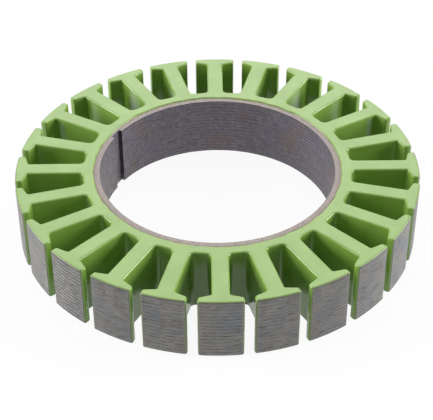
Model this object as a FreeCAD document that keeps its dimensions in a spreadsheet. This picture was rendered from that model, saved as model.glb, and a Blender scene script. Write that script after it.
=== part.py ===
import FreeCAD, Part
import os

import Sketcher

# Stator core of an outrunner motor: a ring of outward T-shaped teeth, punched from electrical
# steel sheet, stacked and powder coated. Millimetres and degrees. +Z is the bore's axis, and
# Z = 0 is the face that the stack stands on, which is the underside of the lower coat of film.

SIZES = {
    # Punched sheet
    "outer_diameter": 50.0,  # over the pole faces
    "bore_diameter": 29.2,
    "tooth_count": 24,
    "yoke_width": 1.9,  # from the bore to the flat floor of a slot, at its middle
    "web_width": 1.7,  # a tooth between two slots
    "tip_root": 1.3,  # a pole tip, radially, where it leaves the web
    "tip_slope": 16.0,  # the underside of a tip, which thins it towards its edge
    "slot_mouth": 1.55,  # gap between two neighbouring tips
    "keyway_width": 1.75,
    "keyway_depth": 0.4,
    "keyway_angle": 150.0,  # in line with a tooth
    # Stack
    "sheet_thickness": 0.5,
    "sheet_count": 16,
    # Epoxy film
    "face_film": 0.12,  # on both end faces
    "wall_film": 0.18,  # on the slot walls and the pole tips' edges
    "bare_rim": 1.1,  # band round the bore, on the end faces, that has no film
    "floor_round": 0.45,  # between a slot's floor and its walls
    "tip_round": 0.3,  # at the inner edge of a pole tip
}

STACK_HEIGHT = "(Sizes.sheet_thickness * Sizes.sheet_count)"
FILM_HEIGHT = f"({STACK_HEIGHT} + 2 * Sizes.face_film)"
BORE_RADIUS = "(Sizes.bore_diameter / 2)"
RIM_RADIUS = f"({BORE_RADIUS} + Sizes.bare_rim)"

# A slot's outline is drawn about the X axis of its sketch, so the teeth beside it lie half a
# pitch to each side. Its corners are those of the steel, moved into the slot by the thickness
# of the film: none for the punched outline.
HALF_PITCH = "(180 deg / Sizes.tooth_count)"
TIP_SLOPE = "(Sizes.tip_slope * 1 deg)"
HALF_WEB = "(Sizes.web_width / 2 + {film})"
HALF_MOUTH = "(Sizes.slot_mouth / 2 - {film})"
FLOOR_X = f"({BORE_RADIUS} + Sizes.yoke_width + {{film}})"
FLOOR_Y = f"({FLOOR_X} * tan({HALF_PITCH}) - {HALF_WEB} / cos({HALF_PITCH}))"
SHOULDER_REACH = (
    "(Sizes.outer_diameter / 2 - Sizes.tip_root"
    f" - {{film}} * (1 - sin({TIP_SLOPE})) / cos({TIP_SLOPE}))"
)
SHOULDER_X = f"({SHOULDER_REACH} * cos({HALF_PITCH}) + {HALF_WEB} * sin({HALF_PITCH}))"
SHOULDER_Y = f"({SHOULDER_REACH} * sin({HALF_PITCH}) - {HALF_WEB} * cos({HALF_PITCH}))"
TIP_X = f"({SHOULDER_X} + ({SHOULDER_Y} - {HALF_MOUTH}) * tan({TIP_SLOPE} + {HALF_PITCH}))"
OUTSIDE_X = "(Sizes.outer_diameter / 2 + Sizes.tip_root)"
FLOOR_CORNER = 0
TIP_CORNER = 2
SLOT_CORNERS = (
    (FLOOR_X, FLOOR_Y),
    (SHOULDER_X, SHOULDER_Y),
    (TIP_X, HALF_MOUTH),
    (OUTSIDE_X, HALF_MOUTH),
)

# How Sketcher numbers a sketch's origin and X axis, and the start, end and centre of a curve.
ORIGIN = (-1, 1)
X_AXIS = -1
START = 1
END = 2
CENTRE = 3

# What a size that an expression will set starts from.
FIRST_GUESS = 0.01


def make_sheet(doc):
    """The driving dimensions as a spreadsheet, one row and one alias each."""
    sheet = doc.addObject("Spreadsheet::Sheet", "Sizes")
    for row, (alias, value) in enumerate(SIZES.items(), start=1):
        sheet.set(f"A{row}", alias)
        sheet.set(f"B{row}", str(value))
        sheet.setAlias(f"B{row}", alias)
    doc.recompute()


def make_sketch(body, name, turn="0 deg"):
    """An empty sketch on the body's own XY plane, turned about the stack's axis."""
    plane = next(o for o in body.Origin.OriginFeatures if o.Role == "XY_Plane")
    sketch = body.newObject("Sketcher::SketchObject", f"{body.Name}_{name}")
    sketch.AttachmentSupport = [(plane, "")]
    sketch.MapMode = "FlatFace"
    sketch.setExpression("AttachmentOffset.Rotation.Angle", turn)
    return sketch


def dimension(sketch, kind, places, name, expression):
    """A named dimension of the sketch, driven by an expression over the spreadsheet."""
    index = sketch.addConstraint(Sketcher.Constraint(kind, *places, FIRST_GUESS))
    sketch.renameConstraint(index, name)
    sketch.setExpression(f"Constraints.{name}", expression)


def draw_ring(sketch, outer_radius, inner_radius):
    """Two circles about the origin."""
    axis = FreeCAD.Vector(0, 0, 1)
    for name, radius, first in (("outer", outer_radius, 2.0), ("inner", inner_radius, 1.0)):
        circle = sketch.addGeometry(Part.Circle(FreeCAD.Vector(), axis, first), False)
        sketch.addConstraint(Sketcher.Constraint("Coincident", circle, CENTRE, *ORIGIN))
        dimension(sketch, "Radius", (circle,), name, radius)


def draw_mirrored(sketch, corners):
    """A closed outline that is the same on both sides of the X axis. Its corners are given for
    one side, as pairs of expressions. The line that leaves corner N upwards in X is line N."""
    upper = [FreeCAD.Vector(number + 1.0, 1.0, 0) for number in range(len(corners))]
    lower = [FreeCAD.Vector(point.x, -point.y, 0) for point in reversed(upper)]
    points = upper + lower
    count = len(points)
    for start, end in zip(points, points[1:] + points[:1]):
        sketch.addGeometry(Part.LineSegment(start, end), False)
    for line in range(count):
        following = ((line + 1) % count, START)
        sketch.addConstraint(Sketcher.Constraint("Coincident", line, END, *following))
    for line, (x, y) in enumerate(corners):
        corner = (line, START)
        opposite = (count - 1 - line, START)
        sketch.addConstraint(Sketcher.Constraint("Symmetric", *corner, *opposite, X_AXIS))
        dimension(sketch, "DistanceX", (*ORIGIN, *corner), f"corner_{line}_x", x)
        dimension(sketch, "DistanceY", (*ORIGIN, *corner), f"corner_{line}_y", y)


def round_corners(sketch, radii):
    """Tangent arcs at the numbered corners of a mirrored outline, on both sides alike."""
    sketch.Document.recompute()
    lines = sketch.GeometryCount
    for corner, radius in radii.items():
        for line in (corner, lines - 1 - corner):
            arc = sketch.GeometryCount
            sketch.fillet(line, START, FIRST_GUESS, True, True)
            dimension(sketch, "Radius", (arc,), f"round_{line}", radius)


def extrude(body, kind, sketch, name, length):
    """A Pad or a Pocket that runs upwards from the body's XY plane. It doesn't join faces that
    lie in one plane."""
    feature = body.newObject(kind, f"{body.Name}_{name}")
    feature.Profile = sketch
    feature.Refine = False
    feature.setExpression("Length", length)
    feature.Reversed = kind == "PartDesign::Pocket"
    return feature


def make_toothed_ring(doc, label, height, film, rounds):
    """A ring, from the edge of the bare rim outwards, that is cut into T-shaped teeth by one
    slot between each two. The film thickens the teeth and narrows the slots."""
    body = doc.addObject("PartDesign::Body", label)
    body.Label = label
    ring = make_sketch(body, "ring_outline")
    draw_ring(ring, "Sizes.outer_diameter / 2", RIM_RADIUS)
    extrude(body, "PartDesign::Pad", ring, "ring", height)
    outline = make_sketch(body, "slot_outline", HALF_PITCH)
    draw_mirrored(outline, [(x.format(film=film), y.format(film=film)) for x, y in SLOT_CORNERS])
    round_corners(outline, rounds)
    slot = extrude(body, "PartDesign::Pocket", outline, "slot", height)
    pattern = body.newObject("PartDesign::PolarPattern", f"{label}_slots")
    pattern.Originals = [slot]
    pattern.Axis = (outline, ["N_Axis"])
    pattern.Angle = 360
    pattern.setExpression("Occurrences", "Sizes.tooth_count")
    body.Tip = pattern
    return body


def make_lamination(doc, label, sheets_below, sheets, has_seat):
    """Punched sheets, pressed together: a toothed ring, the rim inside it that the film leaves
    bare, and a keyway in the bore. At the ends of the stack the rim is a face of its own, which
    a shoulder can seat on."""
    height = f"Sizes.sheet_thickness * ({sheets})"
    body = make_toothed_ring(doc, label, height, "0", {})
    rim = make_sketch(body, "rim_outline")
    draw_ring(rim, RIM_RADIUS, BORE_RADIUS)
    extrude(body, "PartDesign::Pad", rim, "rim", height)
    keyway = make_sketch(body, "keyway_outline", "Sizes.keyway_angle * 1 deg")
    half_width = "Sizes.keyway_width / 2"
    inside = f"{BORE_RADIUS} - Sizes.keyway_depth"
    floor = f"{BORE_RADIUS} + Sizes.keyway_depth"
    draw_mirrored(keyway, [(inside, half_width), (floor, half_width)])
    cut = extrude(body, "PartDesign::Pocket", keyway, "keyway", height)
    cut.Refine = not has_seat
    body.Tip = cut
    below = f"Sizes.face_film + Sizes.sheet_thickness * ({sheets_below})"
    body.setExpression("Placement.Base.z", below)
    return body


def make_coating(doc, laminations):
    """One skin over both end faces and every slot wall: the coated form, less the steel in it.
    The pole faces, the bore and the rim round the bore stay bare."""
    rounds = {FLOOR_CORNER: "Sizes.floor_round", TIP_CORNER: "Sizes.tip_round"}
    coated = make_toothed_ring(doc, "coated_form", FILM_HEIGHT, "Sizes.wall_film", rounds)
    steel = doc.addObject("Part::MultiFuse", "steel")
    steel.Shapes = laminations
    steel.Refine = True
    coating = doc.addObject("Part::Cut", "epoxy_coating")
    coating.Label = "epoxy_coating"
    coating.Base = coated
    coating.Tool = steel
    return coating


def check(doc, nodes):
    """Stops where an object failed, or where a piece isn't one valid solid."""
    for item in doc.Objects:
        if {"Invalid", "Error"} & set(item.State):
            raise RuntimeError(f"{item.Label} failed: {item.State}")
    for node in nodes:
        if node.Shape.isNull() or not node.Shape.isValid() or len(node.Shape.Solids) != 1:
            raise RuntimeError(f"{node.Label} is not one valid solid")


def main():
    doc = FreeCAD.newDocument("stator_lamination_stack")
    make_sheet(doc)
    laminations = [
        make_lamination(doc, "lamination_bottom", "0", "1", True),
        make_lamination(doc, "laminations_inner", "1", "Sizes.sheet_count - 2", False),
        make_lamination(doc, "lamination_top", "Sizes.sheet_count - 1", "1", True),
    ]
    coating = make_coating(doc, laminations)
    doc.recompute()
    nodes = laminations + [coating]
    check(doc, nodes)
    os.makedirs("parts", exist_ok=True)
    for node in nodes:
        node.Shape.exportStep(f"parts/{node.Label}.step")
        box = node.Shape.BoundBox
        print(node.Label, f"{node.Shape.Volume:.3f} mm3, Z {box.ZMin:.2f} to {box.ZMax:.2f}")


main()
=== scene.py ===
import math

import bmesh
import bpy
from mathutils import Matrix, Vector, noise


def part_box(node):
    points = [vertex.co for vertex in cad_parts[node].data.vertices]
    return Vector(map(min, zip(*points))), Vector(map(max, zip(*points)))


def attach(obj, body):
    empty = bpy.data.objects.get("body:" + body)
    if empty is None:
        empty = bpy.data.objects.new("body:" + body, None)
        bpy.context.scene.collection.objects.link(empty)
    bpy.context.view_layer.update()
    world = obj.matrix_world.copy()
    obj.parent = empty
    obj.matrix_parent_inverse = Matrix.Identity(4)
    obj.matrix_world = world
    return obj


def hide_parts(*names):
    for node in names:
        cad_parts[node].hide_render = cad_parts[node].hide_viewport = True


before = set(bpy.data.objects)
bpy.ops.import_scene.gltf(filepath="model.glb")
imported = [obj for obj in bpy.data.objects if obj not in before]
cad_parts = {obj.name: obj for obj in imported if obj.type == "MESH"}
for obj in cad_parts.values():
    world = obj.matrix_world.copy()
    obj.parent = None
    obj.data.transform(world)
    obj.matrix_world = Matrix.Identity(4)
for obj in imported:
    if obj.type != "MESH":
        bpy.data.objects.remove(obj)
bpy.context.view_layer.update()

# Stator lamination stack: sixteen punched sheets of silicon steel under one skin of green epoxy
# powder coat. Shapes are modelled in millimetres and brought to metres when they are finished.

MM = 0.001

# The punched sheet, in millimetres and degrees
TEETH = 24
PITCH = 360.0 / TEETH
HALF_PITCH = math.radians(PITCH / 2)
OUTER_RADIUS = round(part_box("lamination_top")[1].x / MM, 3)
BORE_RADIUS = 14.6
YOKE_WIDTH = 1.9
WEB_WIDTH = 1.7
TIP_ROOT = 1.3
TIP_SLOPE = math.radians(16.0)
SLOT_MOUTH = 1.55
KEYWAY_WIDTH = 1.75
KEYWAY_DEPTH = 0.4
KEYWAY_ANGLE = 150.0

# The stack
SHEETS = 16
STEEL_BOTTOM = round(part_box("lamination_bottom")[0].z / MM, 3)
STEEL_TOP = round(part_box("lamination_top")[1].z / MM, 3)
SHEET_GAP = 0.01  # insulating varnish between two sheets
SHEET_THICKNESS = (STEEL_TOP - STEEL_BOTTOM - (SHEETS - 1) * SHEET_GAP) / SHEETS
SHEET_PITCH = SHEET_THICKNESS + SHEET_GAP
SHEET_EDGE = 0.02  # the rolled-over edge that the punch leaves

# The powder coat
COAT_BOTTOM = round(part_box("epoxy_coating")[0].z / MM, 3)
COAT_TOP = round(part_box("epoxy_coating")[1].z / MM, 3)
WALL_FILM = 0.18
BARE_RIM = 0.8
RIM_WANDER = 0.07  # how far the coat's edge strays on the bare rim
WANDER_RATE = 0.9  # strays in a millimetre of that edge
WANDER_SEED = 7.0
FLOOR_ROUND = 0.45
SHOULDER_ROUND = 0.2
TIP_ROUND = 0.32
MOUTH_ROUND = 0.3  # where a pole tip's edge meets the pole face
FACE_ROUND = 0.28  # where an end face turns down, which draws the film back from sharp steel
FACE_FILM = COAT_TOP - STEEL_TOP
# The rounded film ends this far inside its outline, where it comes down to the steel
DRAWN_BACK = FACE_ROUND - math.sqrt(FACE_ROUND**2 - (FACE_ROUND - FACE_FILM) ** 2)

BORE_STEPS = 8  # edges along a tooth's share of the bore
POLE_STEPS = 5  # edges along half a pole face

WELD = 0.001  # vertices nearer than this are one
NEAR_CORNER = 0.02
GENTLEST_FOLD, SHARPEST_FOLD = 0.8, 2.4  # radians between an end face and a wall
SMOOTH_ANGLE = math.radians(32)  # gentler turns than this are shaded smooth
FLAT_ENOUGH = 0.9  # the upward share of a flat face's normal
RUN_ON = 1.0  # how far the steel's outline runs past the film's when it is cut away


def polar(radius, angle):
    return Vector((radius * math.cos(angle), radius * math.sin(angle), 0.0))


def half_outline(film):
    """The corners of half a slot's wall, from the slot's floor to the tip's outer corner, beside
    the tooth that lies along X. The film moves them into the slot."""
    floor = BORE_RADIUS + YOKE_WIDTH + film
    half_web = WEB_WIDTH / 2 + film
    half_mouth = SLOT_MOUTH / 2 - film
    sine, cosine, slope = math.sin(HALF_PITCH), math.cos(HALF_PITCH), math.tan(TIP_SLOPE)
    reach = OUTER_RADIUS - TIP_ROOT - film * (1 - math.sin(TIP_SLOPE)) / math.cos(TIP_SLOPE)
    tip_y = ((reach - half_web * slope) * sine - half_mouth) / (cosine - slope * sine)
    return [
        polar(floor, HALF_PITCH),
        Vector(((floor - half_web * sine) / cosine, half_web, 0.0)),
        Vector((reach, half_web, 0.0)),
        Vector((reach + (tip_y - half_web) * slope, tip_y, 0.0)),
    ]


def mouth_corner(radius, film):
    """Where the edge of a pole tip meets a radius."""
    return polar(radius, HALF_PITCH - math.asin((SLOT_MOUTH / 2 - film) / radius))


def swept_arc(bm, start, angle, steps):
    """Vertices along an arc about Z, from a start point."""
    first = bm.verts.new(start)
    bmesh.ops.spin(
        bm, geom=[first], cent=(0, 0, 0), axis=(0, 0, 1), dvec=(0, 0, 0), angle=angle, steps=steps
    )
    return sorted(
        (v for v in bm.verts if abs(v.co.length - first.co.length) < WELD and v.link_edges),
        key=lambda v: v.co.y,
    )


def toothed_ring(inner_radius, outer_radius, film, bottom, top):
    """A closed ring with T-shaped teeth, in a new bmesh."""
    bm = bmesh.new()
    inner = swept_arc(bm, Vector((inner_radius, 0, 0)), HALF_PITCH, BORE_STEPS // 2)
    mouth = mouth_corner(outer_radius, film)
    pole_angle = math.atan2(mouth.y, mouth.x)
    outer = swept_arc(bm, Vector((outer_radius, 0, 0)), pole_angle, POLE_STEPS)
    chain = [inner[-1]] + [bm.verts.new(point) for point in half_outline(film)] + [outer[-1]]
    for start, end in zip(chain, chain[1:]):
        bm.edges.new((start, end))
    bmesh.ops.mirror(
        bm, geom=bm.verts[:] + bm.edges[:], matrix=Matrix.Identity(4), merge_dist=WELD, axis="Y"
    )
    bmesh.ops.remove_doubles(bm, verts=bm.verts, dist=WELD)
    bmesh.ops.contextual_create(bm, geom=bm.edges[:])
    bmesh.ops.spin(
        bm,
        geom=bm.verts[:] + bm.edges[:] + bm.faces[:],
        cent=(0, 0, bottom),
        axis=(0, 0, 1),
        dvec=(0, 0, 0),
        angle=math.radians(360.0 - PITCH),
        steps=TEETH - 1,
        use_duplicate=True,
    )
    bmesh.ops.remove_doubles(bm, verts=bm.verts, dist=WELD)
    bmesh.ops.translate(bm, verts=bm.verts, vec=(0, 0, bottom))
    raised = bmesh.ops.extrude_face_region(bm, geom=bm.faces[:])["geom"]
    raised = [item for item in raised if isinstance(item, bmesh.types.BMVert)]
    bmesh.ops.translate(bm, verts=raised, vec=(0, 0, top - bottom))
    bmesh.ops.recalc_face_normals(bm, faces=bm.faces)
    return bm


def in_tooth(point):
    """A point turned back into the half tooth that lies along X."""
    angle = math.atan2(point.y, point.x)
    angle = abs(angle - round(angle / (2 * HALF_PITCH)) * 2 * HALF_PITCH)
    return polar(math.hypot(point.x, point.y), angle)


def upright_edges(bm, corner):
    """The upright edges at one corner of every tooth."""
    return [
        e
        for e in bm.edges
        if abs(e.verts[0].co.z - e.verts[1].co.z) > WELD
        and (in_tooth(e.verts[0].co) - corner).length < NEAR_CORNER
    ]


def round_uprights(bm, corner, radius, turn, segments):
    """Rounds one corner of every tooth. The walls there turn through an angle."""
    bmesh.ops.bevel(
        bm,
        geom=upright_edges(bm, corner),
        offset=radius * math.tan(turn / 2),
        segments=segments,
        profile=0.5,
        affect="EDGES",
        material=-1,
        clamp_overlap=True,
    )


def end_face_edges(bm):
    """The edges between a flat end face and the walls."""
    return [
        e
        for e in bm.edges
        if len(e.link_faces) == 2
        and GENTLEST_FOLD < e.calc_face_angle(0.0) < SHARPEST_FOLD
        and abs(e.verts[0].co.z - e.verts[1].co.z) < WELD
    ]


def round_faces(bm, radius, segments):
    """Rounds both end faces over into the walls."""
    bmesh.ops.bevel(
        bm,
        geom=end_face_edges(bm),
        offset=radius,
        segments=segments,
        profile=0.5,
        affect="EDGES",
        material=-1,
        clamp_overlap=True,
    )


def finished(bm, name, materials, node):
    """The bmesh as an object in metres, smooth where its faces turn gently."""
    bmesh.ops.recalc_face_normals(bm, faces=bm.faces)
    bmesh.ops.scale(bm, vec=(MM, MM, MM), verts=bm.verts)
    for face in bm.faces:
        face.smooth = True
    for edge in bm.edges:
        edge.smooth = edge.calc_face_angle(0.0) < SMOOTH_ANGLE
    mesh = bpy.data.meshes.new(name)
    bm.to_mesh(mesh)
    bm.free()
    piece = bpy.data.objects.new(name, mesh)
    bpy.context.scene.collection.objects.link(piece)
    for material in materials:
        mesh.materials.append(material)
    weighted = piece.modifiers.new("even_shading", "WEIGHTED_NORMAL")
    weighted.weight = 100
    weighted.keep_sharp = True
    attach(piece, "root")
    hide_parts(node)


# Materials


def linear(hex_colour):
    """An sRGB hex colour as linear red, green, blue and alpha."""
    channels = [int(hex_colour[i : i + 2], 16) / 255 for i in (1, 3, 5)]
    return [c / 12.92 if c <= 0.04045 else ((c + 0.055) / 1.055) ** 2.4 for c in channels] + [1.0]


def per_metre(millimetres):
    """The texture scale that gives features of a size."""
    return 1.0 / (millimetres * MM)


def add(tree, kind, inputs=(), **settings):
    """A node with its settings and links. An input goes by its name, or by its place among those
    in use, and takes a value, another node's output, or a node, whose first output it then is."""
    made = tree.nodes.new(kind)
    for name, value in settings.items():
        setattr(made, name, value)
    in_use = [socket for socket in made.inputs if socket.enabled]
    for key, value in dict(inputs).items():
        socket = in_use[key] if isinstance(key, int) else next(s for s in in_use if s.name == key)
        if isinstance(value, bpy.types.Node):
            value = next(s for s in value.outputs if s.enabled)
        if isinstance(value, bpy.types.NodeSocket):
            tree.links.new(value, socket)
        else:
            socket.default_value = value
    return made


def new_material(name):
    """An empty material and its node tree."""
    material = bpy.data.materials.new(name)
    material.use_nodes = True
    material.node_tree.nodes.clear()
    return material, material.node_tree


def stack_place(tree):
    """A point on the stack: its coordinates, radius, angle round the axis, and height."""
    place = add(tree, "ShaderNodeTexCoord").outputs["Object"]
    axes = add(tree, "ShaderNodeSeparateXYZ", {"Vector": place})
    flat = add(tree, "ShaderNodeVectorMath", {0: place, 1: (1, 1, 0)}, operation="MULTIPLY")
    radius = add(tree, "ShaderNodeVectorMath", {0: flat}, operation="LENGTH")
    angle = add(
        tree,
        "ShaderNodeMath",
        {0: axes.outputs["Y"], 1: axes.outputs["X"]},
        operation="ARCTAN2",
    )
    return place, radius, angle, axes.outputs["Z"]


def powder_coat():
    """Epoxy powder, melted into one green film: glossy, so it mirrors the room softly, with the
    slight waves of orange peel, thin clouds in its green, a few specks of grit, and a dull edge
    where it was ground together with the pole faces."""
    material, tree = new_material("green_epoxy_powder_coat")
    place, radius, _, _ = stack_place(tree)
    cloud = add(
        tree, "ShaderNodeTexNoise", {"Vector": place, "Scale": per_metre(3.5), "Detail": 3.0}
    )
    spread = add(tree, "ShaderNodeMapRange", {"Value": cloud, "From Min": 0.35, "From Max": 0.65})
    green = add(
        tree,
        "ShaderNodeMix",
        {"Factor": spread, "A": linear("#7FA348"), "B": linear("#89AC52")},
        data_type="RGBA",
    )
    # Grit: a speck in about half of the cells, a tenth of a millimetre across
    cell = add(tree, "ShaderNodeTexVoronoi", {"Vector": place, "Scale": per_metre(1.5)})
    chance = add(tree, "ShaderNodeSeparateColor", {"Color": cell.outputs["Color"]})
    rare = add(tree, "ShaderNodeMath", {0: chance, 1: 0.5}, operation="GREATER_THAN")
    dot = add(
        tree,
        "ShaderNodeMapRange",
        {"Value": cell, "From Min": 0.03, "From Max": 0.06, "To Min": 0.7, "To Max": 0.0},
    )
    speck = add(tree, "ShaderNodeMath", {0: dot, 1: rare}, operation="MULTIPLY")
    green = add(
        tree,
        "ShaderNodeMix",
        {"Factor": speck, "A": green, "B": linear("#C4C08A")},
        data_type="RGBA",
    )
    ground = add(
        tree,
        "ShaderNodeMapRange",
        {
            "Value": radius,
            "From Min": (OUTER_RADIUS - 0.14) * MM,
            "From Max": (OUTER_RADIUS - 0.04) * MM,
            "To Max": 0.85,
        },
    )
    colour = add(
        tree,
        "ShaderNodeMix",
        {"Factor": ground, "A": green, "B": linear("#77786A")},
        data_type="RGBA",
    )
    dulled = add(tree, "ShaderNodeMapRange", {"Value": ground, "To Min": 0.17, "To Max": 0.5})
    waves = add(
        tree, "ShaderNodeTexNoise", {"Vector": place, "Scale": per_metre(0.8), "Detail": 1.0}
    )
    peel = add(tree, "ShaderNodeBump", {"Height": waves, "Strength": 0.2, "Distance": 0.02 * MM})
    shader = add(
        tree,
        "ShaderNodeBsdfPrincipled",
        {"Base Color": colour, "Roughness": dulled, "IOR": 1.55, "Normal": peel},
    )
    add(tree, "ShaderNodeOutputMaterial", {"Surface": shader})
    return material


def ground_steel():
    """The sheets' edges on the pole faces, ground to size with the stack clamped: an even dull
    grey with bluish clouds, scored dark along the sheets in short dashes, with clusters of
    bright grit marks, soiled at the sides, and darker olive brown just under the film's edge."""
    material, tree = new_material("ground_silicon_steel_edges")
    place, _, angle, height = stack_place(tree)
    cloud = add(
        tree, "ShaderNodeTexNoise", {"Vector": place, "Scale": per_metre(1.4), "Detail": 4.0}
    )
    spread = add(tree, "ShaderNodeMapRange", {"Value": cloud, "From Min": 0.35, "From Max": 0.65})
    grey = add(
        tree,
        "ShaderNodeMix",
        {"Factor": spread, "A": linear("#777674"), "B": linear("#83817E")},
        data_type="RGBA",
    )
    drift = add(
        tree, "ShaderNodeTexNoise", {"Vector": place, "Scale": per_metre(2.7), "Detail": 1.0}
    )
    bluish = add(
        tree,
        "ShaderNodeMapRange",
        {"Value": drift, "From Min": 0.5, "From Max": 0.65, "To Max": 0.5},
    )
    grey = add(
        tree,
        "ShaderNodeMix",
        {"Factor": bluish, "A": grey, "B": linear("#6F757D")},
        data_type="RGBA",
    )
    # Scores 1.2 mm long and 0.1 mm wide, along the sheets
    along = add(
        tree,
        "ShaderNodeMapping",
        {"Vector": place, "Scale": (per_metre(1.2), per_metre(1.2), per_metre(0.1))},
    )
    scoring = add(tree, "ShaderNodeTexNoise", {"Vector": along, "Scale": 1.0, "Detail": 1.0})
    dash = add(
        tree,
        "ShaderNodeMapRange",
        {"Value": scoring, "From Min": 0.3, "From Max": 0.42, "To Min": 1.0, "To Max": 0.0},
    )
    grey = add(
        tree,
        "ShaderNodeMix",
        {"Factor": dash, "A": grey, "B": linear("#55534F")},
        data_type="RGBA",
    )
    # Grit marks of about 0.1 mm, in clusters
    grit = add(tree, "ShaderNodeTexVoronoi", {"Vector": place, "Scale": per_metre(0.28)})
    mark = add(
        tree,
        "ShaderNodeMapRange",
        {"Value": grit, "From Min": 0.12, "From Max": 0.24, "To Min": 1.0, "To Max": 0.0},
    )
    cluster = add(
        tree,
        "ShaderNodeMapRange",
        {"Value": drift, "From Min": 0.42, "From Max": 0.34, "To Max": 0.6},
    )
    mark = add(tree, "ShaderNodeMath", {0: mark, 1: cluster}, operation="MULTIPLY")
    grey = add(
        tree,
        "ShaderNodeMix",
        {"Factor": mark, "A": grey, "B": linear("#C9C5BC")},
        data_type="RGBA",
    )
    # The sides of a pole face, where dust from the film is ground in
    across = add(tree, "ShaderNodeMath", {0: angle, 1: HALF_PITCH}, operation="PINGPONG")
    side = HALF_PITCH - math.asin(SLOT_MOUTH / 2 / OUTER_RADIUS)
    soiled = add(
        tree,
        "ShaderNodeMapRange",
        {
            "Value": across,
            "From Min": side - 0.25 / OUTER_RADIUS,
            "From Max": side,
            "To Max": 0.6,
        },
    )
    grey = add(
        tree,
        "ShaderNodeMix",
        {"Factor": soiled, "A": grey, "B": linear("#86857A")},
        data_type="RGBA",
    )
    # Darker olive brown in a band over the top 0.16 mm of the steel, just under the film's edge
    darker_band_under_film = add(
        tree,
        "ShaderNodeMapRange",
        {
            "Value": height,
            "From Min": (STEEL_TOP - 0.16) * MM,
            "From Max": (STEEL_TOP - 0.03) * MM,
            "To Max": 0.8,
        },
    )
    colour = add(
        tree,
        "ShaderNodeMix",
        {"Factor": darker_band_under_film, "A": grey, "B": linear("#5A5A4A")},
        data_type="RGBA",
    )
    scored = add(
        tree,
        "ShaderNodeBump",
        {"Height": dash, "Strength": 0.2, "Distance": 0.01 * MM},
        invert=True,
    )
    shader = add(
        tree,
        "ShaderNodeBsdfPrincipled",
        {"Base Color": colour, "Metallic": 1.0, "Roughness": 0.5, "Normal": scored},
    )
    add(tree, "ShaderNodeOutputMaterial", {"Surface": shader})
    return material


def punched_steel():
    """The sheets' edges in the bore, as the punch left them: dark bluish grey, finely mottled,
    with faint lines along the sheets, brown stains, and light scratches across the left side."""
    material, tree = new_material("punched_silicon_steel_bore")
    place, _, angle, height = stack_place(tree)
    mottle = add(
        tree, "ShaderNodeTexNoise", {"Vector": place, "Scale": per_metre(0.5), "Detail": 3.0}
    )
    spread = add(tree, "ShaderNodeMapRange", {"Value": mottle, "From Min": 0.3, "From Max": 0.7})
    grey = add(
        tree,
        "ShaderNodeMix",
        {"Factor": spread, "A": linear("#615D65"), "B": linear("#77737A")},
        data_type="RGBA",
    )
    along = add(
        tree,
        "ShaderNodeMapping",
        {"Vector": place, "Scale": (per_metre(2.5), per_metre(2.5), per_metre(0.12))},
    )
    lines = add(tree, "ShaderNodeTexNoise", {"Vector": along, "Scale": 1.0, "Detail": 1.0})
    line = add(
        tree,
        "ShaderNodeMapRange",
        {"Value": lines, "From Min": 0.3, "From Max": 0.45, "To Min": 0.5, "To Max": 0.0},
    )
    grey = add(
        tree,
        "ShaderNodeMix",
        {"Factor": line, "A": grey, "B": linear("#4E4A50")},
        data_type="RGBA",
    )
    drift = add(
        tree, "ShaderNodeTexNoise", {"Vector": place, "Scale": per_metre(3.0), "Detail": 2.0}
    )
    stain = add(
        tree,
        "ShaderNodeMapRange",
        {"Value": drift, "From Min": 0.5, "From Max": 0.68, "To Max": 0.5},
    )
    grey = add(
        tree,
        "ShaderNodeMix",
        {"Factor": stain, "A": grey, "B": linear("#6E625A")},
        data_type="RGBA",
    )
    # Scratches 0.1 mm wide and 1.5 mm long, which lean over because a hub was turned in
    arc = add(tree, "ShaderNodeMath", {0: angle, 1: BORE_RADIUS * MM}, operation="MULTIPLY")
    wall = add(tree, "ShaderNodeCombineXYZ", {"X": arc, "Y": height})
    leaning = add(
        tree,
        "ShaderNodeMapping",
        {
            "Vector": wall,
            "Rotation": (0, 0, math.radians(40)),
            "Scale": (per_metre(0.1), per_metre(1.5), 1),
        },
    )
    scratches = add(tree, "ShaderNodeTexNoise", {"Vector": leaning, "Scale": 1.0, "Detail": 0.0})
    scratch = add(
        tree,
        "ShaderNodeMapRange",
        {"Value": scratches, "From Min": 0.58, "From Max": 0.7, "To Max": 0.8},
    )
    left = add(tree, "ShaderNodeMath", {0: angle, 1: math.pi}, operation="PINGPONG")
    left = add(
        tree,
        "ShaderNodeMapRange",
        {"Value": left, "From Min": math.radians(140), "From Max": math.radians(160)},
    )
    scratch = add(tree, "ShaderNodeMath", {0: scratch, 1: left}, operation="MULTIPLY")
    colour = add(
        tree,
        "ShaderNodeMix",
        {"Factor": scratch, "A": grey, "B": linear("#9C948E")},
        data_type="RGBA",
    )
    rough = add(tree, "ShaderNodeBump", {"Height": mottle, "Strength": 0.3, "Distance": 0.01 * MM})
    shader = add(
        tree,
        "ShaderNodeBsdfPrincipled",
        {"Base Color": colour, "Metallic": 1.0, "Roughness": 0.5, "Normal": rough},
    )
    add(tree, "ShaderNodeOutputMaterial", {"Surface": shader})
    return material


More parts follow.
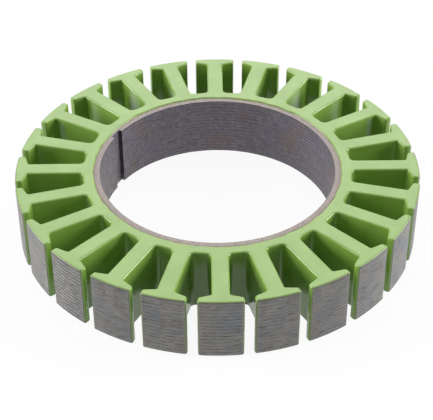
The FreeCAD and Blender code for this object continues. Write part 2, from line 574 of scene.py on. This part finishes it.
def rolled_steel():
    """The sheet's own face, on the bare rim: brownish grey under its varnish, peppered with light
    and dark specks, and browner where the film's edge begins."""
    material, tree = new_material("varnished_silicon_steel_face")
    place, radius, _, _ = stack_place(tree)
    pepper = add(
        tree, "ShaderNodeTexNoise", {"Vector": place, "Scale": per_metre(0.16), "Detail": 2.0}
    )
    spread = add(tree, "ShaderNodeMapRange", {"Value": pepper, "From Min": 0.35, "From Max": 0.65})
    face = add(
        tree,
        "ShaderNodeMix",
        {"Factor": spread, "A": linear("#746D69"), "B": linear("#938B86")},
        data_type="RGBA",
    )
    drift = add(
        tree, "ShaderNodeTexNoise", {"Vector": place, "Scale": per_metre(2.0), "Detail": 2.0}
    )
    edge = add(
        tree,
        "ShaderNodeMapRange",
        {
            "Value": radius,
            "From Min": (BORE_RADIUS + BARE_RIM - 0.35) * MM,
            "From Max": (BORE_RADIUS + BARE_RIM) * MM,
            "To Max": 1.3,
        },
    )
    stain = add(tree, "ShaderNodeMath", {0: drift, 1: edge}, operation="MULTIPLY")
    colour = add(
        tree,
        "ShaderNodeMix",
        {"Factor": stain, "A": face, "B": linear("#6B5F53")},
        data_type="RGBA",
    )
    shader = add(
        tree,
        "ShaderNodeBsdfPrincipled",
        {"Base Color": colour, "Metallic": 1.0, "Roughness": 0.5},
    )
    add(tree, "ShaderNodeOutputMaterial", {"Surface": shader})
    return material


COAT = powder_coat()
STEELS = (ground_steel(), punched_steel(), rolled_steel())
GROUND, PUNCHED, ROLLED = range(len(STEELS))


# Cutting one form out of another


def bare_object(bm, name):
    """A bmesh as an object in millimetres, for cutting only."""
    mesh = bpy.data.meshes.new(name)
    bm.to_mesh(mesh)
    bm.free()
    made = bpy.data.objects.new(name, mesh)
    bpy.context.scene.collection.objects.link(made)
    return made


def cut_away(bm, tool_bm):
    """One closed form less another, as a new bmesh."""
    form = bare_object(bm, "form")
    tool = bare_object(tool_bm, "tool")
    cut = form.modifiers.new("cut", "BOOLEAN")
    cut.operation = "DIFFERENCE"
    cut.object = tool
    cut.solver = "MANIFOLD"
    graph = bpy.context.evaluated_depsgraph_get()
    mesh = bpy.data.meshes.new_from_object(form.evaluated_get(graph))
    left = bmesh.new()
    left.from_mesh(mesh)
    for leftover in (form, tool):
        bpy.data.objects.remove(leftover)
    bmesh.ops.remove_doubles(left, verts=left.verts, dist=WELD / 4)
    return left


# Sheets


def punched_sheet():
    """One sheet with its keyway, standing on Z = 0, and its edges a little rolled over."""
    keyway = bmesh.new()
    bmesh.ops.create_cube(
        keyway,
        size=1.0,
        matrix=Matrix.Rotation(math.radians(KEYWAY_ANGLE), 4, "Z")
        @ Matrix.Translation((BORE_RADIUS, 0, SHEET_THICKNESS / 2))
        @ Matrix.Diagonal((2 * KEYWAY_DEPTH, KEYWAY_WIDTH, 2 * SHEET_THICKNESS, 1)),
    )
    sheet = cut_away(toothed_ring(BORE_RADIUS, OUTER_RADIUS, 0.0, 0.0, SHEET_THICKNESS), keyway)
    bmesh.ops.dissolve_limit(
        sheet, angle_limit=math.radians(0.5), verts=sheet.verts, edges=sheet.edges
    )
    round_faces(sheet, SHEET_EDGE, 1)
    bmesh.ops.recalc_face_normals(sheet, faces=sheet.faces)
    for face in sheet.faces:
        if abs(face.normal.z) > FLAT_ENOUGH:
            face.material_index = ROLLED
        elif face.calc_center_median().xy.length < BORE_RADIUS + YOKE_WIDTH / 2:
            face.material_index = PUNCHED
        else:
            face.material_index = GROUND
    return sheet


def make_sheets():
    """The sheets, all punched alike, each above the last."""
    pattern = punched_sheet()
    for number in range(SHEETS):
        sheet = pattern.copy()
        bmesh.ops.translate(
            sheet, verts=sheet.verts, vec=(0, 0, STEEL_BOTTOM + number * SHEET_PITCH)
        )
        node = "laminations_inner"
        if number == 0:
            node = "lamination_bottom"
        elif number == SHEETS - 1:
            node = "lamination_top"
        finished(sheet, f"sheet_{number + 1:02d}", STEELS, node)
    pattern.free()


make_sheets()


# Powder coat


def make_coat():
    """The coated form with rounded edges, less the steel inside it. The steel's outline runs on
    past the pole faces and the bare rim, which leaves those open."""
    inner_radius = BORE_RADIUS + BARE_RIM - DRAWN_BACK
    form = toothed_ring(inner_radius, OUTER_RADIUS, WALL_FILM, COAT_BOTTOM, COAT_TOP)
    for vertex in form.verts:
        if vertex.co.xy.length < inner_radius + WELD:
            along = Vector((vertex.co.x, vertex.co.y, WANDER_SEED)) * WANDER_RATE
            stray = noise.noise(along) * RIM_WANDER * 2
            vertex.co.xy *= 1 + stray / inner_radius
    corners = half_outline(WALL_FILM)
    quarter = math.pi / 2
    round_uprights(form, corners[1], FLOOR_ROUND, quarter + HALF_PITCH, 6)
    round_uprights(form, corners[2], SHOULDER_ROUND, quarter - TIP_SLOPE, 4)
    round_uprights(form, corners[3], TIP_ROUND, quarter - TIP_SLOPE - HALF_PITCH, 5)
    mouth = mouth_corner(OUTER_RADIUS, WALL_FILM)
    round_uprights(form, mouth, MOUTH_ROUND, quarter, 5)
    round_faces(form, FACE_ROUND, 6)
    steel = toothed_ring(
        BORE_RADIUS - RUN_ON, OUTER_RADIUS + RUN_ON, 0.0, STEEL_BOTTOM, STEEL_TOP
    )
    skin = cut_away(form, steel)
    finished(skin, "powder_coat", (COAT,), "epoxy_coating")


make_coat()


# Stage

FRONT_LEVEL = 0.4  # the room behind the camera
BACK_LEVEL = 1.1  # the white backdrop
FRONT_DEPTH, BACK_DEPTH = -0.8, 0.6  # where the room's brightness starts and stops to change
AMBIENT_SHARE = 0.35  # of that room in the light that falls on the stack
TABLE_WHITE = 0.8
TABLE_SIZE = 3.0
SHADOW_SHARE = 0.08  # how much of the table's white the lamps give

# Each softbox: azimuth and elevation in degrees, distance and size in metres, and watts
SOFTBOXES = {
    "overhead": (0.0, 88.0, 0.6, 0.5, 0.78),
    "back_box": (180.0, 40.0, 0.6, 0.34, 0.76),
    "left_box": (-95.0, 15.0, 0.5, 0.3, 2.9),
    "right_box": (95.0, 15.0, 0.5, 0.3, 2.9),
}

# The camera, in degrees and millimetres, and what it looks at on the stack
CAMERA_AZIMUTH = -0.8
CAMERA_ELEVATION = 38.566
CAMERA_ROLL = -0.18
CAMERA_DISTANCE = 171.01
CAMERA_TARGET = (-0.132, 1.492, STEEL_BOTTOM)
LENS = 110.28
SENSOR = 36.0
NEAREST_SEEN = 0.01


def away_from_stack(azimuth, elevation):
    """The direction from the stack to a lamp or the camera. Azimuth 0 is the front."""
    a, e = math.radians(azimuth), math.radians(elevation)
    return Vector((math.sin(a) * math.cos(e), -math.cos(a) * math.cos(e), math.sin(e)))


def make_floor():
    """A white table. The camera and the gloss see it white with a share of real shadow, and from
    below it is clear."""
    bm = bmesh.new()
    bmesh.ops.create_grid(bm, x_segments=1, y_segments=1, size=TABLE_SIZE)
    mesh = bpy.data.meshes.new("floor")
    bm.to_mesh(mesh)
    bm.free()
    floor = bpy.data.objects.new("floor", mesh)
    bpy.context.scene.collection.objects.link(floor)
    material, tree = new_material("white_table")
    path = add(tree, "ShaderNodeLightPath")
    seen = add(
        tree,
        "ShaderNodeMath",
        {0: path.outputs["Is Camera Ray"], 1: path.outputs["Is Glossy Ray"]},
        operation="MAXIMUM",
    )
    lit = add(
        tree, "ShaderNodeBsdfDiffuse", {"Color": (TABLE_WHITE, TABLE_WHITE, TABLE_WHITE, 1)}
    )
    glow = add(
        tree,
        "ShaderNodeEmission",
        {"Color": (1, 1, 1, 1), "Strength": 1.0 - SHADOW_SHARE},
    )
    shadow = add(
        tree, "ShaderNodeBsdfDiffuse", {"Color": (SHADOW_SHARE, SHADOW_SHARE, SHADOW_SHARE, 1)}
    )
    white = add(tree, "ShaderNodeAddShader", {0: glow, 1: shadow})
    table = add(tree, "ShaderNodeMixShader", {0: seen, 1: lit, 2: white})
    below = add(tree, "ShaderNodeNewGeometry").outputs["Backfacing"]
    clear = add(tree, "ShaderNodeBsdfTransparent")
    surface = add(tree, "ShaderNodeMixShader", {0: below, 1: table, 2: clear})
    add(tree, "ShaderNodeOutputMaterial", {"Surface": surface})
    mesh.materials.append(material)


def make_world():
    """A bright room: white where the camera looks past the table, and in the gloss it darkens
    from the backdrop towards the camera's side."""
    world = bpy.data.worlds.new("studio")
    world.use_nodes = True
    bpy.context.scene.world = world
    tree = world.node_tree
    tree.nodes.clear()
    path = add(tree, "ShaderNodeLightPath")
    direction = add(tree, "ShaderNodeTexCoord").outputs["Generated"]
    depth = add(tree, "ShaderNodeSeparateXYZ", {"Vector": direction}).outputs["Y"]
    mirrored = add(
        tree,
        "ShaderNodeMapRange",
        {
            "Value": depth,
            "From Min": FRONT_DEPTH,
            "From Max": BACK_DEPTH,
            "To Min": FRONT_LEVEL,
            "To Max": BACK_LEVEL,
        },
    )
    ambient = add(tree, "ShaderNodeMath", {0: mirrored, 1: AMBIENT_SHARE}, operation="MULTIPLY")
    level = add(
        tree,
        "ShaderNodeMix",
        {"Factor": path.outputs["Is Glossy Ray"], "A": ambient, "B": mirrored},
    )
    level = add(
        tree, "ShaderNodeMix", {"Factor": path.outputs["Is Camera Ray"], "A": level, "B": 1.0}
    )
    sky = add(tree, "ShaderNodeBackground", {"Color": (1, 1, 1, 1), "Strength": level})
    add(tree, "ShaderNodeOutputWorld", {"Surface": sky})


def make_lamp(name, azimuth, elevation, distance, size, power):
    """A square softbox that faces the stack."""
    lamp = bpy.data.lights.new(name, "AREA")
    lamp.size = size
    lamp.energy = power
    holder = bpy.data.objects.new(name, lamp)
    bpy.context.scene.collection.objects.link(holder)
    away = away_from_stack(azimuth, elevation)
    holder.location = away * distance
    holder.rotation_euler = away.to_track_quat("Z", "Y").to_euler()


def make_camera():
    """Looks down on the stack from the front, a long lens from a short way off."""
    away = away_from_stack(CAMERA_AZIMUTH, CAMERA_ELEVATION)
    swing = Matrix.Rotation(math.radians(CAMERA_AZIMUTH), 3, "Z")
    roll = Matrix.Rotation(math.radians(CAMERA_ROLL), 3, "Z")
    lens = bpy.data.cameras.new("camera")
    lens.sensor_width = SENSOR
    lens.lens = LENS
    lens.clip_start = NEAREST_SEEN
    camera = bpy.data.objects.new("camera", lens)
    bpy.context.scene.collection.objects.link(camera)
    camera.location = (swing @ Vector(CAMERA_TARGET) + away * CAMERA_DISTANCE) * MM
    camera.rotation_euler = (away.to_track_quat("Z", "Y").to_matrix() @ roll).to_euler()
    bpy.context.scene.camera = camera


make_floor()
make_world()
for name, settings in SOFTBOXES.items():
    make_lamp(name, *settings)
make_camera()
bpy.context.scene.view_settings.view_transform = "Standard"
